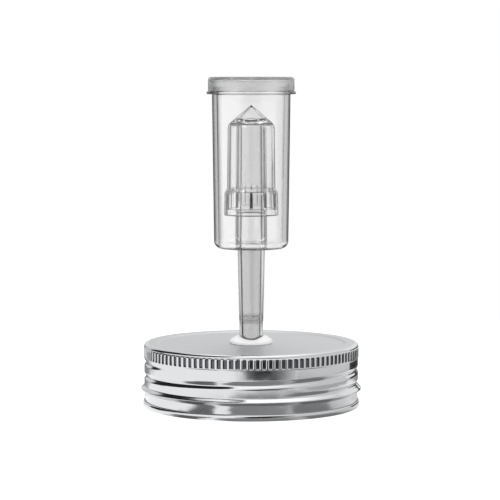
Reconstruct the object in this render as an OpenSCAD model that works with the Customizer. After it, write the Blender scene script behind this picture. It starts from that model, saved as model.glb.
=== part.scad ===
// Airlock lid of a wide-mouth fermentation jar: a rolled steel screw lid with its sealing
// ring, a soft grommet in its panel, and a clear airlock of three pieces standing in it.
// Millimetres, +Z up, origin on the axis at the lid's lower edge. Angles around the axis
// start at the front (-Y) and turn towards +X.

/* [Lid] */
// Outer diameter of the lid's plain wall
lid_wall_d = 87.2; // [80:0.1:95]
// Height of the lid from its lower edge to the raised ring on top
lid_h = 25.8; // [23:0.1:32]
// Thickness of the steel sheet
sheet_t = 0.4; // [0.3:0.05:0.5]
// Radius of the bend between top and wall, on its outside
shoulder_r = 1.3; // [1:0.1:2]
// Width of the flat ring around the top
rim_w = 3.7; // [3:0.1:5]
// How far the middle panel lies below that ring
panel_drop = 0.5; // [0.3:0.05:0.8]
// Width of the sloping step between ring and panel
step_w = 1; // [0.7:0.1:2]
// Diameter of the hole for the grommet
hole_d = 12.8; // [11.5:0.1:13.5]

/* [Knurl] */
// Number of grip slots around the lid
knurl_count = 108; // [60:1:120]
// Height of the grip slots
knurl_h = 3.8; // [3:0.1:4.4]
// Depth of the grip slots
knurl_depth = 0.4; // [0.2:0.05:0.5]
// How far the grip band stands out of the wall
knurl_proud = 0.2; // [0.1:0.05:0.3]
// Share of each pitch that is slot
knurl_slot_share = 0.5; // [0.4:0.05:0.6]
// Distance from the top of the lid down to the slots
knurl_drop = 1.7; // [1.6:0.1:2.5]

/* [Rolled thread] */
// Rise of the thread in one turn
thread_pitch = 5.5; // [4.5:0.1:6.5]
// How far the thread bead reaches into the lid
thread_depth = 0.8; // [0.4:0.05:1]
// Height of the bead where it leaves the wall
thread_w = 3; // [2:0.1:4]
// Height of the helix above the ridge at the front, before its first turn
thread_rise = 1.2; // [0.8:0.1:3]
// Angle at which the bead begins
thread_from = 15; // [0:5:60]
// Angle at which the bead ends
thread_to = 675; // [400:5:690]
// Angle over which the bead fades in and out
thread_fade = 50; // [20:5:90]

/* [Ridge and hem] */
// Height of the sharp ridge above the lower edge
ridge_z = 7.3; // [6.5:0.1:9]
// How far the ridge stands out of the wall
ridge_out = 1.4; // [0.8:0.1:2]
// Height of the sloping side above the ridge
ridge_upper_h = 1.3; // [1:0.1:2]
// Height of the sloping side below the ridge
ridge_lower_h = 1.2; // [1:0.1:2]
// How far the wall below the ridge is set in
neck_inset = 0.3; // [0.1:0.05:0.6]
// Height of the folded hem
hem_h = 2.6; // [2:0.1:3.5]
// Gap inside the folded hem
hem_gap = 0.4; // [0.3:0.05:0.6]

/* [Sealing ring] */
// Width of the silicone ring
seal_w = 4.1; // [3:0.1:6]
// Thickness of the silicone ring
seal_t = 2; // [1.5:0.1:3]
// Rounding of its edges
seal_round = 0.6; // [0.3:0.05:0.7]
// Gap between the ring and the lid's wall
seal_gap = 0.15; // [0.1:0.05:0.3]

/* [Grommet] */
// Diameter of the flange above the panel
grommet_d = 17.2; // [16:0.1:20]
// Height of the grommet above the panel
grommet_top_h = 3.8; // [3:0.1:4.5]
// Height of the upper flange's edge
grommet_edge_h = 1.1; // [0.8:0.1:1.5]
// Width of the flat lip around the stem
grommet_lip_w = 0.7; // [0.4:0.1:1.2]
// Diameter of the flange below the panel
grommet_under_d = 16.4; // [15.5:0.1:18]
// Height of the flange below the panel
grommet_under_h = 2; // [1.5:0.1:3]
// Rounding of the flanges
grommet_round = 0.5; // [0.3:0.05:0.7]
// Gap between the grommet's waist and the hole
grommet_gap = 0.05; // [0:0.01:0.1]

/* [Airlock body] */
// Length of stem between panel and chamber
stem_show = 39; // [30:0.5:50]
// Length of stem below the top of the panel
stem_below = 16.3; // [14:0.1:17]
// Diameter of the stem under the chamber
stem_top_d = 11; // [10.4:0.1:11.6]
// Diameter of the stem at the panel
stem_fit_d = 9.4; // [9:0.1:9.8]
// Diameter of the bore at the stem's tip
bore_tip_d = 6; // [5.9:0.1:6.6]
// Diameter of the bore at the chamber's underside, where its two tapers meet
bore_base_d = 7.9; // [7.5:0.1:8.2]
// Diameter of the bore at the top of the tube
bore_top_d = 7.2; // [6.8:0.1:7.5]
// Outer diameter of the chamber under its flange
chamber_top_d = 31.8; // [30:0.1:34]
// Outer diameter of the chamber at its bottom
chamber_base_d = 30.1; // [29:0.1:31]
// Height of the chamber up to the top of its flange
chamber_h = 63.7; // [60:0.1:70]
// Thickness of the chamber's wall
chamber_t = 2.1; // [1.5:0.1:2.4]
// Thickness of the chamber's floor
floor_t = 2.1; // [1.5:0.1:3]
// Rounding of the chamber's lower edge
base_round = 3; // [2:0.1:4]
// Rounding where tube and wall meet the floor inside
floor_round = 1; // [0.5:0.1:1.5]
// Outer diameter of the flange that carries the cap
flange_d = 36.2; // [35.5:0.1:39]
// Thickness of the flange
flange_t = 1.2; // [0.8:0.1:2]
// Height of the rim above the flange
rim_h = 1.9; // [1:0.1:3]
// Outer diameter of the rim inside the cap
rim_d = 32.2; // [31.9:0.1:32.8]
// Height of the inner tube above the chamber's underside
tube_h = 50.5; // [46:0.1:54]
// Outer diameter of the tube at its top
tube_top_d = 12.4; // [11.5:0.1:12.8]
// Outer diameter of the tube at the floor
tube_base_d = 12.9; // [12:0.1:13.5]

/* [Float] */
// Outer diameter of the bell under its shoulder
bell_top_d = 19; // [18.5:0.1:20]
// Outer diameter of the bell above its skirt
bell_base_d = 19.6; // [19:0.1:20.5]
// Thickness of the float's wall
float_t = 0.9; // [0.7:0.05:1.2]
// Height of the bell from the seat down to the skirt's lower edge
bell_h = 36.9; // [32:0.1:42]
// Height of the skirt
skirt_h = 9.2; // [7:0.1:12]
// Outer diameter of the skirt at its top
skirt_top_d = 21.6; // [21:0.1:22]
// Outer diameter of the skirt at its lower edge
skirt_base_d = 22.1; // [21.5:0.1:23]
// Height of the flare between bell and skirt
flare_h = 1.7; // [1:0.1:3]
// Height of the tip above the seat
tip_h = 7.6; // [7.3:0.1:8]
// Slope of the tip as rise over run
tip_slope = 0.82; // [0.76:0.01:0.86]
// Rounding between tip and bell
crown_round = 3.5; // [2.5:0.1:4]
// Rounding inside the bell, between its wall and the seat
seat_round = 1.6; // [1:0.1:1.8]
// Diameter of the hollow inside the tip, at the seat
hollow_d = 11.2; // [10:0.1:11.4]
// Wall above the hollow, measured along the axis
hollow_t = 1.3; // [1:0.1:2]
// Number of spacer fins inside the skirt
fin_count = 12; // [6:1:16]
// Thickness of a fin
fin_t = 0.5; // [0.4:0.05:0.8]
// Height of the plain band below the fins
fin_band_h = 2.5; // [1.5:0.1:4]

/* [Cap] */
// Outer diameter of the cap
cap_d = 35; // [34.6:0.1:36]
// Height of the cap
cap_h = 5.7; // [5:0.1:8]
// Thickness of the cap's top
cap_top_t = 1.3; // [1:0.1:2]
// Rounding of the cap's upper edge
cap_round = 1.3; // [0.8:0.1:2]
// Number of vent holes in the cap
vent_count = 8; // [4:1:12]
// Diameter of a vent hole
vent_d = 1.2; // [0.8:0.1:1.6]
// Diameter of the circle of vent holes
vent_circle_d = 18; // [10:0.5:24]

/* [Hidden] */
$fn = 96;

// Overrun of every cut past the face that it opens
over = 0.5;
// Gap between a piece that lifts off and the flat seat under it
seat_gap = 0.05;
// Radial gap between the stem and the grommet, and between the rim and the cap
stem_gap = 0.05;
cap_gap = 0.1;
// Steps in a quarter bend
bend_steps = 8;
// Angle through which the upper edge of the grommet's flange bends into its dome
dome_bend = 50;
// Columns around the rolled wall, and rows up it
roll_columns = 90;
roll_rows = 19;
// How far the rolled wall is lapped into the plain wall at each end, and set in from its faces
roll_lap = 0.3;
roll_inset = 0.04;

// Lid: radii of the sheet's middle line, and heights along it
half_t = sheet_t / 2;
wall_r = lid_wall_d / 2 - half_t;
ridge_r = wall_r + ridge_out;
neck_r = wall_r - neck_inset;
hem_bend_r = (hem_gap + sheet_t) / 2;
rim_mid_z = lid_h - half_t;
panel_mid_z = rim_mid_z - panel_drop;
panel_z = panel_mid_z + half_t;
bend_mid_r = shoulder_r - half_t;
rim_outer_r = wall_r - bend_mid_r;
rim_inner_r = rim_outer_r - rim_w;
hole_r = hole_d / 2;
knurl_top_z = lid_h - knurl_drop;
knurl_low_z = knurl_top_z - knurl_h;
knurl_edge = knurl_proud;
knurl_r = wall_r + half_t + knurl_proud;
knurl_in_r = knurl_r - knurl_depth - sheet_t;
plain_low_z = ridge_z + ridge_upper_h;
plain_high_z = knurl_low_z - 2 * knurl_edge;
roll_low_z = plain_low_z + roll_lap;
roll_high_z = plain_high_z - roll_lap;

// Airlock: heights and radii
tip_z = panel_z - stem_below;
base_z = panel_z + stem_show;
floor_z = base_z + floor_t;
flange_z = base_z + chamber_h;
rim_z = flange_z + rim_h;
tube_z = base_z + tube_h;
flange_round = flange_t / 2;
cap_low_z = flange_z + seat_gap;
cap_top_z = cap_low_z + cap_h;
seat_z = tube_z + seat_gap;
skirt_z = seat_z - bell_h;
skirt_top_z = skirt_z + skirt_h;
flare_z = skirt_top_z + flare_h;

// Value at z on the line through (z0, a) and (z1, b)
function slope_at(z, z0, a, z1, b) = a + (b - a) * (z - z0) / (z1 - z0);
// Outer radii of the stem and of the chamber at a height
function stem_r(z) = slope_at(z, panel_z, stem_fit_d / 2, base_z, stem_top_d / 2);
function chamber_r(z) = slope_at(z, base_z, chamber_base_d / 2, flange_z, chamber_top_d / 2);

// Points of an arc from angle a0 to angle a1
function arc(centre, r, a0, a1, steps = bend_steps) =
    [for (i = [0:steps]) let (a = a0 + (a1 - a0) * i / steps) centre + r * [cos(a), sin(a)]];

// Left-hand unit normal of the way from p to q
function normal(p, q) = [p[1] - q[1], q[0] - p[0]] / norm(q - p);
// Offset of a path's point i to its left by d, mitred at bends
function side_point(path, i, d) = let (
        last = len(path) - 1,
        before = normal(path[max(i - 1, 0)], path[max(i, 1)]),
        after = normal(path[min(i, last - 1)], path[min(i + 1, last)])
    ) path[i] + d * (before + after) / (1 + before * after);
// Outline of a sheet of thickness t whose middle line is the path
function sheet_outline(path, t) = concat(
    [for (i = [0:len(path) - 1]) side_point(path, i, t / 2)],
    [for (i = [len(path) - 1:-1:0]) side_point(path, i, -t / 2)]);

// Smooth step from 0 to 1
function ease(x) = let (c = min(max(x, 0), 1)) c * c * (3 - 2 * c);
// Depth of the thread bead at a turned angle and a height above the helix
function bead(turned, dz) = let (u = 2 * dz / thread_w)
    abs(u) >= 1 || turned <= thread_from || turned >= thread_to ? 0 :
    thread_depth * (1 + cos(180 * u)) / 2
        * ease((turned - thread_from) / thread_fade) * ease((thread_to - turned) / thread_fade);
// Depth of the rolled wall at an angle and height, flat again at both ends
function rolled(a, z) = ease((z - roll_low_z) / (2 * roll_lap)) * ease((roll_high_z - z) / (2 * roll_lap))
    * max([for (turn = [0:2]) let (turned = a + 360 * turn)
        bead(turned, z - ridge_z - thread_rise - thread_pitch * turned / 360)]);

// The sheet from the hole over the shoulder to the plain wall below the knurl
upper_path = concat(
    [[hole_r, panel_mid_z], [rim_inner_r - step_w, panel_mid_z], [rim_inner_r, rim_mid_z]],
    arc([rim_outer_r, rim_mid_z - bend_mid_r], bend_mid_r, 90, 0),
    [[wall_r, roll_high_z - roll_lap]]);

// The sheet from the plain wall over the ridge to the hem, folded outwards and back on itself
lower_path = concat(
    [[wall_r, roll_low_z + roll_lap], [wall_r, plain_low_z], [ridge_r - half_t, ridge_z]],
    [[neck_r, ridge_z - ridge_lower_h]],
    arc([neck_r + hem_bend_r, hem_bend_r + half_t], hem_bend_r, 180, 360),
    arc([neck_r + hem_bend_r, hem_h - hem_bend_r - half_t], hem_bend_r, 0, 90));

// Turns an outline of [radius, height] points around the axis
module turned(points) {
    rotate_extrude() polygon(points);
}

// One grip slot, in front of the band
module knurl_slot() {
    slot_w = 360 / knurl_count * knurl_slot_share * PI / 180 * knurl_r;
    translate([-slot_w / 2, -knurl_r - over, knurl_low_z])
        cube([slot_w, knurl_depth + over, knurl_h]);
}

// The band that stands out of the wall and carries the grip slots
module knurl_band() {
    difference() {
        turned([
            [knurl_in_r, knurl_low_z - knurl_edge],
            [wall_r, knurl_low_z - 2 * knurl_edge],
            [knurl_r - knurl_edge, knurl_low_z - 2 * knurl_edge],
            [knurl_r, knurl_low_z - knurl_edge],
            [knurl_r, knurl_top_z + knurl_edge],
            [knurl_r - knurl_edge, knurl_top_z + 2 * knurl_edge],
            [wall_r, knurl_top_z + 2 * knurl_edge],
            [knurl_in_r, knurl_top_z + knurl_edge]]);
        for (i = [0:knurl_count - 1]) rotate([0, 0, i * 360 / knurl_count]) knurl_slot();
    }
}

// The wall between ridge and knurl, with the thread rolled into it as one bead
module rolled_wall() {
    rows = roll_rows;
    columns = roll_columns;
    low = roll_low_z - roll_lap / 2;
    high = roll_high_z + roll_lap / 2;
    out_r = wall_r + half_t - roll_inset;
    in_r = wall_r - half_t + roll_inset;
    function place(i, j, r) = let (
            a = 360 * i / columns,
            z = low + (high - low) * j / rows,
            at = r - rolled(a, z)
        ) [at * sin(a), -at * cos(a), z];
    outside = [for (j = [0:rows]) for (i = [0:columns - 1]) place(i, j, out_r)];
    inside = [for (j = [0:rows]) for (i = [0:columns - 1]) place(i, j, in_r)];
    layer = columns * (rows + 1);
    function id(i, j, side) = side * layer + j * columns + i % columns;
    function pair(a, b, c, d) = [[a, b, c], [a, c, d]];
    polyhedron(points = concat(outside, inside), convexity = 4, faces = [
        for (i = [0:columns - 1]) for (face = concat(
            [for (j = [0:rows - 1]) for (f = pair(id(i, j, 0), id(i, j + 1, 0),
                id(i + 1, j + 1, 0), id(i + 1, j, 0))) f],
            [for (j = [0:rows - 1]) for (f = pair(id(i, j, 1), id(i + 1, j, 1),
                id(i + 1, j + 1, 1), id(i, j + 1, 1))) f],
            pair(id(i, 0, 0), id(i + 1, 0, 0), id(i + 1, 0, 1), id(i, 0, 1)),
            pair(id(i, rows, 0), id(i, rows, 1), id(i + 1, rows, 1), id(i + 1, rows, 0))
        )) face]);
}

module screw_lid() {
    color("silver") {
        turned(sheet_outline(upper_path, sheet_t));
        knurl_band();
        rolled_wall();
        turned(sheet_outline(lower_path, sheet_t));
    }
}

module sealing_ring() {
    outer = knurl_in_r - seal_gap;
    inner = outer - seal_w;
    top = rim_mid_z - half_t;
    r = seal_round;
    color("white") turned(concat(
        arc([outer - r, top - r], r, 90, 0), arc([outer - r, top - seal_t + r], r, 0, -90),
        arc([inner + r, top - seal_t + r], r, -90, -180), arc([inner + r, top - r], r, 180, 90)));
}

module grommet() {
    waist = hole_r - grommet_gap;
    under = panel_z - sheet_t;
    low = under - grommet_under_h;
    high = panel_z + grommet_top_h;
    r = grommet_round;
    edge_r = grommet_d / 2;
    under_r = grommet_under_d / 2;
    lip_r = stem_r(high) + stem_gap + grommet_lip_w;
    color("white") turned(concat(
        [[stem_r(low) + stem_gap, low]],
        arc([under_r - r, low + r], r, -90, 0),
        arc([under_r - r, under - r], r, 0, 90),
        [[waist, under], [waist, panel_z]],
        [[edge_r - r, panel_z]],
        arc([edge_r - r, panel_z + r], r, -90, 0),
        arc([edge_r - r, panel_z + grommet_edge_h], r, 0, dome_bend),
        [[lip_r, high], [stem_r(high) + stem_gap, high]]));
}

module airlock_body() {
    wall_in = function(z) chamber_r(z) - chamber_t;
    f = floor_round;
    b = base_round;
    e = flange_round;
    color("aliceblue", 0.4) turned(concat(
        [[bore_tip_d / 2, tip_z], [bore_base_d / 2, base_z]],
        [[bore_top_d / 2, tube_z], [tube_top_d / 2, tube_z]],
        arc([tube_base_d / 2 + f, floor_z + f], f, 180, 270),
        arc([wall_in(floor_z) - f, floor_z + f], f, -90, 0),
        [[wall_in(rim_z), rim_z], [rim_d / 2, rim_z], [rim_d / 2, flange_z]],
        arc([flange_d / 2 - e, flange_z - e], e, 90, -90),
        [[chamber_r(flange_z - flange_t), flange_z - flange_t]],
        arc([chamber_r(base_z + b) - b, base_z + b], b, 0, -90),
        [[stem_r(base_z), base_z], [stem_r(tip_z), tip_z]]));
}

module float_bell() {
    c = crown_round;
    t = float_t;
    crown_a = 90 - atan(tip_slope);
    s = seat_round;
    bell_in = bell_top_d / 2 - t;
    hollow_r = hollow_d / 2;
    tip_top_z = seat_z + tip_h;
    hollow_top_z = tip_top_z - hollow_t;
    crown_r = bell_top_d / 2 - c;
    crown_z = tip_top_z - tip_slope * (crown_r + c * cos(crown_a)) - c * sin(crown_a);
    turned(concat(
        [[0, tip_top_z]],
        arc([crown_r, crown_z], c, crown_a, 0),
        [[bell_base_d / 2, flare_z], [skirt_top_d / 2, skirt_top_z], [skirt_base_d / 2, skirt_z]],
        [[skirt_base_d / 2 - t, skirt_z], [skirt_top_d / 2 - t, skirt_top_z - t / 2]],
        [[bell_base_d / 2 - t, flare_z - t / 2]],
        arc([bell_in - s, seat_z - s], s, 0, 90),
        [[hollow_r, seat_z], [hollow_r, hollow_top_z - tip_slope * hollow_r]],
        [[0, hollow_top_z]]));
}

// One radial fin between the skirt and the line of the bell's inner wall
module float_fin() {
    out_r = skirt_top_d / 2 - float_t / 2;
    in_r = bell_base_d / 2 - float_t;
    translate([-fin_t / 2, -out_r, skirt_z + fin_band_h])
        cube([fin_t, out_r - in_r, skirt_h - fin_band_h]);
}

module float() {
    color("lightcyan", 0.4) {
        float_bell();
        for (i = [0:fin_count - 1]) rotate([0, 0, i * 360 / fin_count]) float_fin();
    }
}

module airlock_cap() {
    in_r = rim_d / 2 + cap_gap;
    out_r = cap_d / 2;
    under_z = cap_top_z - cap_top_t;
    c = cap_round;
    i = (out_r - in_r) / 2;
    color("gainsboro", 0.7) difference() {
        turned(concat(
            [[0, cap_top_z]],
            arc([out_r - c, cap_top_z - c], c, 90, 0),
            [[out_r, cap_low_z], [in_r, cap_low_z]],
            arc([in_r - i, under_z - i], i, 0, 90),
            [[0, under_z]]));
        for (n = [0:vent_count - 1]) rotate([0, 0, n * 360 / vent_count])
            translate([vent_circle_d / 2, 0, under_z - over])
                cylinder(d = vent_d, h = cap_top_t + 2 * over);
    }
}

screw_lid();
sealing_ring();
grommet();
airlock_body();
float();
airlock_cap();
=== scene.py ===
"""Looks of a wide-mouth fermentation lid with its airlock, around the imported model.

Lengths in the dataclasses are millimetres in the model's own frame, and a mesh is written in metres.
"""

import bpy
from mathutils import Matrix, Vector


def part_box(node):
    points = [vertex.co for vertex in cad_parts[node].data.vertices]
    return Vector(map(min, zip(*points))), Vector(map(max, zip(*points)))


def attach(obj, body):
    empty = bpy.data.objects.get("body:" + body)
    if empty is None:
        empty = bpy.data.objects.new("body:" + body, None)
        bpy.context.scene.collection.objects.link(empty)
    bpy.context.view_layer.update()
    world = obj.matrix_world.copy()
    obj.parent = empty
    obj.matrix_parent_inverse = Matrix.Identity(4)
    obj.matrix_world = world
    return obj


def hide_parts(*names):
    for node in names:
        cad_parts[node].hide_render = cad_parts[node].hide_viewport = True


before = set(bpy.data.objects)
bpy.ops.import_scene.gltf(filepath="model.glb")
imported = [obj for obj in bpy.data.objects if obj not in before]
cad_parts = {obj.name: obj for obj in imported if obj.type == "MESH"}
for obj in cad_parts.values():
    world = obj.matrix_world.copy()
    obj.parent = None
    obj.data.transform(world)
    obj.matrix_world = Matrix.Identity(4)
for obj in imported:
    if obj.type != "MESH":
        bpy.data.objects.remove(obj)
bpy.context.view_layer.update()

import logging
import math
from collections.abc import Sequence
from dataclasses import dataclass, field
from enum import Enum

import bmesh
import bpy
import numpy as np
from mathutils import Vector

LOG = logging.getLogger("airlock_lid")
MM = 0.001
FULL_TURN = 2 * math.pi
# Lengths in millimetres below this count as none.
TINY = 1e-6
# Edges that turn harder than this are shaded sharp.
CREASE = math.radians(38)
# Brightest value that a ramp of brightness holds.
BRIGHTEST = 2.0

Point = tuple[float, float]
Colour = tuple[float, float, float, float]


class Body(Enum):
    """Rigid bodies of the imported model."""

    LID = "lid"
    AIRLOCK = "airlock"
    FLOAT = "float"
    CAP = "cap"


def linear(hex_colour: str) -> Colour:
    """Turn an sRGB hex colour into linear red, green, blue and alpha.

    Args:
        hex_colour: Six hexadecimal digits, with or without a leading mark.

    Returns:
        The linear colour with an alpha of 1.
    """
    digits = hex_colour.lstrip("#")
    parts = [int(digits[i:i + 2], 16) / 255 for i in (0, 2, 4)]
    red, green, blue = (p / 12.92 if p <= 0.04045 else ((p + 0.055) / 1.055) ** 2.4 for p in parts)
    return red, green, blue, 1.0


def add(tree: bpy.types.NodeTree, kind: str, inputs: dict | None = None, **settings: object) -> bpy.types.Node:
    """Add a node, set its properties, and set or link its inputs.

    Args:
        tree: The node tree that takes the node.
        kind: The node's type name.
        inputs: Input name or index to a value, or to the output socket that feeds it.
        **settings: Properties of the node.

    Returns:
        The new node.
    """
    node = tree.nodes.new(kind)
    for name, value in settings.items():
        setattr(node, name, value)
    for key, value in (inputs or {}).items():
        if isinstance(value, bpy.types.NodeSocket):
            tree.links.new(value, node.inputs[key])
        else:
            node.inputs[key].default_value = value
    return node


class Sums:
    """Writes sums in a geometry or shader tree, one Math node to a step."""

    def __init__(self, tree: bpy.types.NodeTree) -> None:
        """Keep the tree that takes the nodes."""
        self.tree = tree

    def of(self, operation: str, *values: object) -> bpy.types.NodeSocket:
        """Add one Math node and return its output.

        Args:
            operation: The Math node's operation.
            *values: Its inputs in order, as numbers or sockets.

        Returns:
            The output socket.
        """
        return add(self.tree, "ShaderNodeMath", dict(enumerate(values)), operation=operation).outputs[0]

    def ease(self, value: object, low: object, high: object) -> bpy.types.NodeSocket:
        """Smooth step of value from 0 at low to 1 at high."""
        keys = {"Value": value, "From Min": low, "From Max": high}
        return add(self.tree, "ShaderNodeMapRange", keys, interpolation_type="SMOOTHSTEP").outputs[0]

    def azimuth(self, x: object, y: object) -> bpy.types.NodeSocket:
        """Angle around the axis, from the front (-Y) towards +X, in radians."""
        return self.of("ARCTAN2", x, self.of("MULTIPLY", y, -1.0))

    def radius(self, x: object, y: object) -> bpy.types.NodeSocket:
        """Distance from the axis."""
        return self.of("SQRT", self.of("ADD", self.of("MULTIPLY", x, x), self.of("MULTIPLY", y, y)))

    def inside(self, value: object, low: float, high: float) -> bpy.types.NodeSocket:
        """Socket that is 1 where value, in metres, lies between two sizes in millimetres."""
        return self.of("MULTIPLY", self.of("GREATER_THAN", value, low * MM), self.of("LESS_THAN", value, high * MM))


def arc(centre: Point, radius: float, start: float, end: float, steps: int = 8) -> list[Point]:
    """Points of an arc.

    Args:
        centre: The arc's centre.
        radius: Its radius.
        start: First angle in degrees.
        end: Last angle in degrees.
        steps: Number of chords.

    Returns:
        The points, both ends included.
    """
    angles = np.radians(np.linspace(start, end, steps + 1))
    return [(centre[0] + radius * math.cos(a), centre[1] + radius * math.sin(a)) for a in angles]


def rounded(corners: Sequence[tuple[float, ...]], closed: bool = True, steps: int = 6,
            reach: float = 0.49) -> list[Point]:
    """Round the corners of an outline.

    Args:
        corners: Radius and height of each corner, with the rounding's radius as an optional third value.
        closed: Whether the last corner joins the first.
        steps: Chords in one rounded corner.
        reach: Largest share of a side that one rounding takes.

    Returns:
        The outline's points.
    """
    points: list[Point] = []
    count = len(corners)
    for i, corner in enumerate(corners):
        here = np.array(corner[:2], float)
        radius = corner[2] if len(corner) > 2 else 0.0
        if radius <= 0 or (not closed and i in (0, count - 1)):
            points.append((float(here[0]), float(here[1])))
            continue
        to_last = np.array(corners[i - 1][:2], float) - here
        to_next = np.array(corners[(i + 1) % count][:2], float) - here
        last_length, next_length = np.linalg.norm(to_last), np.linalg.norm(to_next)
        to_last, to_next = to_last / last_length, to_next / next_length
        half = math.acos(float(np.clip(to_last @ to_next, -1, 1))) / 2
        cut = min(radius / math.tan(half), reach * last_length, reach * next_length)
        first, last = here + to_last * cut, here + to_next * cut
        for t in np.linspace(0, 1, steps + 1):
            # A rational quadratic curve with this weight is a true arc of a circle.
            weight = math.sin(half)
            share = (1 - t) ** 2 + 2 * weight * t * (1 - t) + t ** 2
            place = ((1 - t) ** 2 * first + 2 * weight * t * (1 - t) * here + t ** 2 * last) / share
            points.append((float(place[0]), float(place[1])))
    return points


def dense(path: Sequence[Point], step: float) -> list[Point]:
    """Cut each stretch of a path into equal pieces.

    Args:
        path: The path's points.
        step: The longest piece.

    Returns:
        The points, those of the path included.
    """
    points = [path[0]]
    for start, end in zip(path, path[1:]):
        pieces = max(1, math.ceil(math.dist(start, end) / step - TINY))
        for i in range(1, pieces + 1):
            points.append(tuple(np.array(start) + (np.array(end) - start) * i / pieces))
    return points


def sheet_sides(path: Sequence[Point], thickness: float) -> tuple[list[Point], list[Point]]:
    """Both faces of a sheet whose middle line is the path.

    Args:
        path: The middle line.
        thickness: The sheet's thickness.

    Returns:
        The points on its left and on its right.
    """
    line = np.array(path, float)
    ways = np.diff(line, axis=0)
    ways /= np.linalg.norm(ways, axis=1)[:, None]
    normals = np.stack([-ways[:, 1], ways[:, 0]], axis=1)
    before = np.vstack([normals[:1], normals])
    after = np.vstack([normals, normals[-1:]])
    offset = (before + after) / (1 + np.sum(before * after, axis=1))[:, None] * thickness / 2
    return [tuple(p) for p in line + offset], [tuple(p) for p in line - offset]


def even_angles(count: int) -> np.ndarray:
    """Evenly spaced column angles around the axis."""
    return np.linspace(0, FULL_TURN, count, endpoint=False)


def fade_between(heights: np.ndarray, low: float, high: float, lap: float) -> np.ndarray:
    """Share that rises from 0 to 1 over a lap above low, and falls back to 0 over a lap below high."""
    return np.clip((heights - low) / lap, 0, 1) * np.clip((high - heights) / lap, 0, 1)


def in_scene(name: str, data: bpy.types.ID) -> bpy.types.Object:
    """Make an object of a mesh, a camera or a light, and put it in the scene.

    Args:
        name: Name of the object.
        data: What it shows.

    Returns:
        The new object, at the origin.
    """
    thing = bpy.data.objects.new(name, data)
    bpy.context.scene.collection.objects.link(thing)
    return thing


def one_face(name: str, corners: Sequence[tuple[float, float, float]]) -> bpy.types.Object:
    """Make an object of one face.

    Args:
        name: Name of the object.
        corners: Its four corners in metres.

    Returns:
        The new object.
    """
    mesh = bpy.data.meshes.new(name)
    mesh.from_pydata(corners, [], [(0, 1, 2, 3)])
    return in_scene(name, mesh)


def turned_mesh(name: str, outline: Sequence[Point], angles: np.ndarray, closed: bool = True) -> bpy.types.Object:
    """Turn an outline around the axis into a closed, smooth mesh.

    Args:
        name: Name of the object.
        outline: Points as (radius, height) in millimetres.
        angles: Column angles from the front (-Y) towards +X, in radians.
        closed: Whether the outline closes on itself. An open one has both ends on the axis.

    Returns:
        The new object, in metres, with smooth faces and sharp edges where the outline turns hard.
    """
    count, columns = len(outline), len(angles)
    vertices: list[tuple[float, float, float]] = []
    rows: list[list[int]] = []
    for radius, height in outline:
        if radius < TINY:
            rows.append([len(vertices)] * columns)
            vertices.append((0.0, 0.0, height * MM))
            continue
        rows.append(list(range(len(vertices), len(vertices) + columns)))
        vertices += [(radius * math.sin(a) * MM, -radius * math.cos(a) * MM, height * MM) for a in angles]
    faces = []
    for i in range(count if closed else count - 1):
        lower, upper = rows[i], rows[(i + 1) % count]
        for k in range(columns):
            corners = (lower[k], lower[(k + 1) % columns], upper[(k + 1) % columns], upper[k])
            faces.append(tuple(dict.fromkeys(corners)))
    mesh = bpy.data.meshes.new(name)
    mesh.from_pydata(vertices, [], faces)
    work = bmesh.new()
    work.from_mesh(mesh)
    bmesh.ops.recalc_face_normals(work, faces=work.faces)
    work.to_mesh(mesh)
    work.free()
    mesh.shade_smooth()
    mesh.set_sharp_from_angle(angle=CREASE)
    return in_scene(name, mesh)


def mark(piece: bpy.types.Object, name: str, values: np.ndarray) -> None:
    """Store one number per vertex, for Geometry Nodes to read."""
    layer = piece.data.attributes.new(name, "FLOAT", "POINT")
    layer.data.foreach_set("value", values.astype(np.float32))


def cylindrical(piece: bpy.types.Object) -> tuple[np.ndarray, np.ndarray]:
    """Measure where every vertex of a piece lies around the axis.

    Args:
        piece: The piece.

    Returns:
        The radius and the height of each vertex, in millimetres.
    """
    flat = np.empty(len(piece.data.vertices) * 3)
    piece.data.vertices.foreach_get("co", flat)
    places = flat.reshape(-1, 3) / MM
    return np.hypot(places[:, 0], places[:, 1]), places[:, 2]


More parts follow.
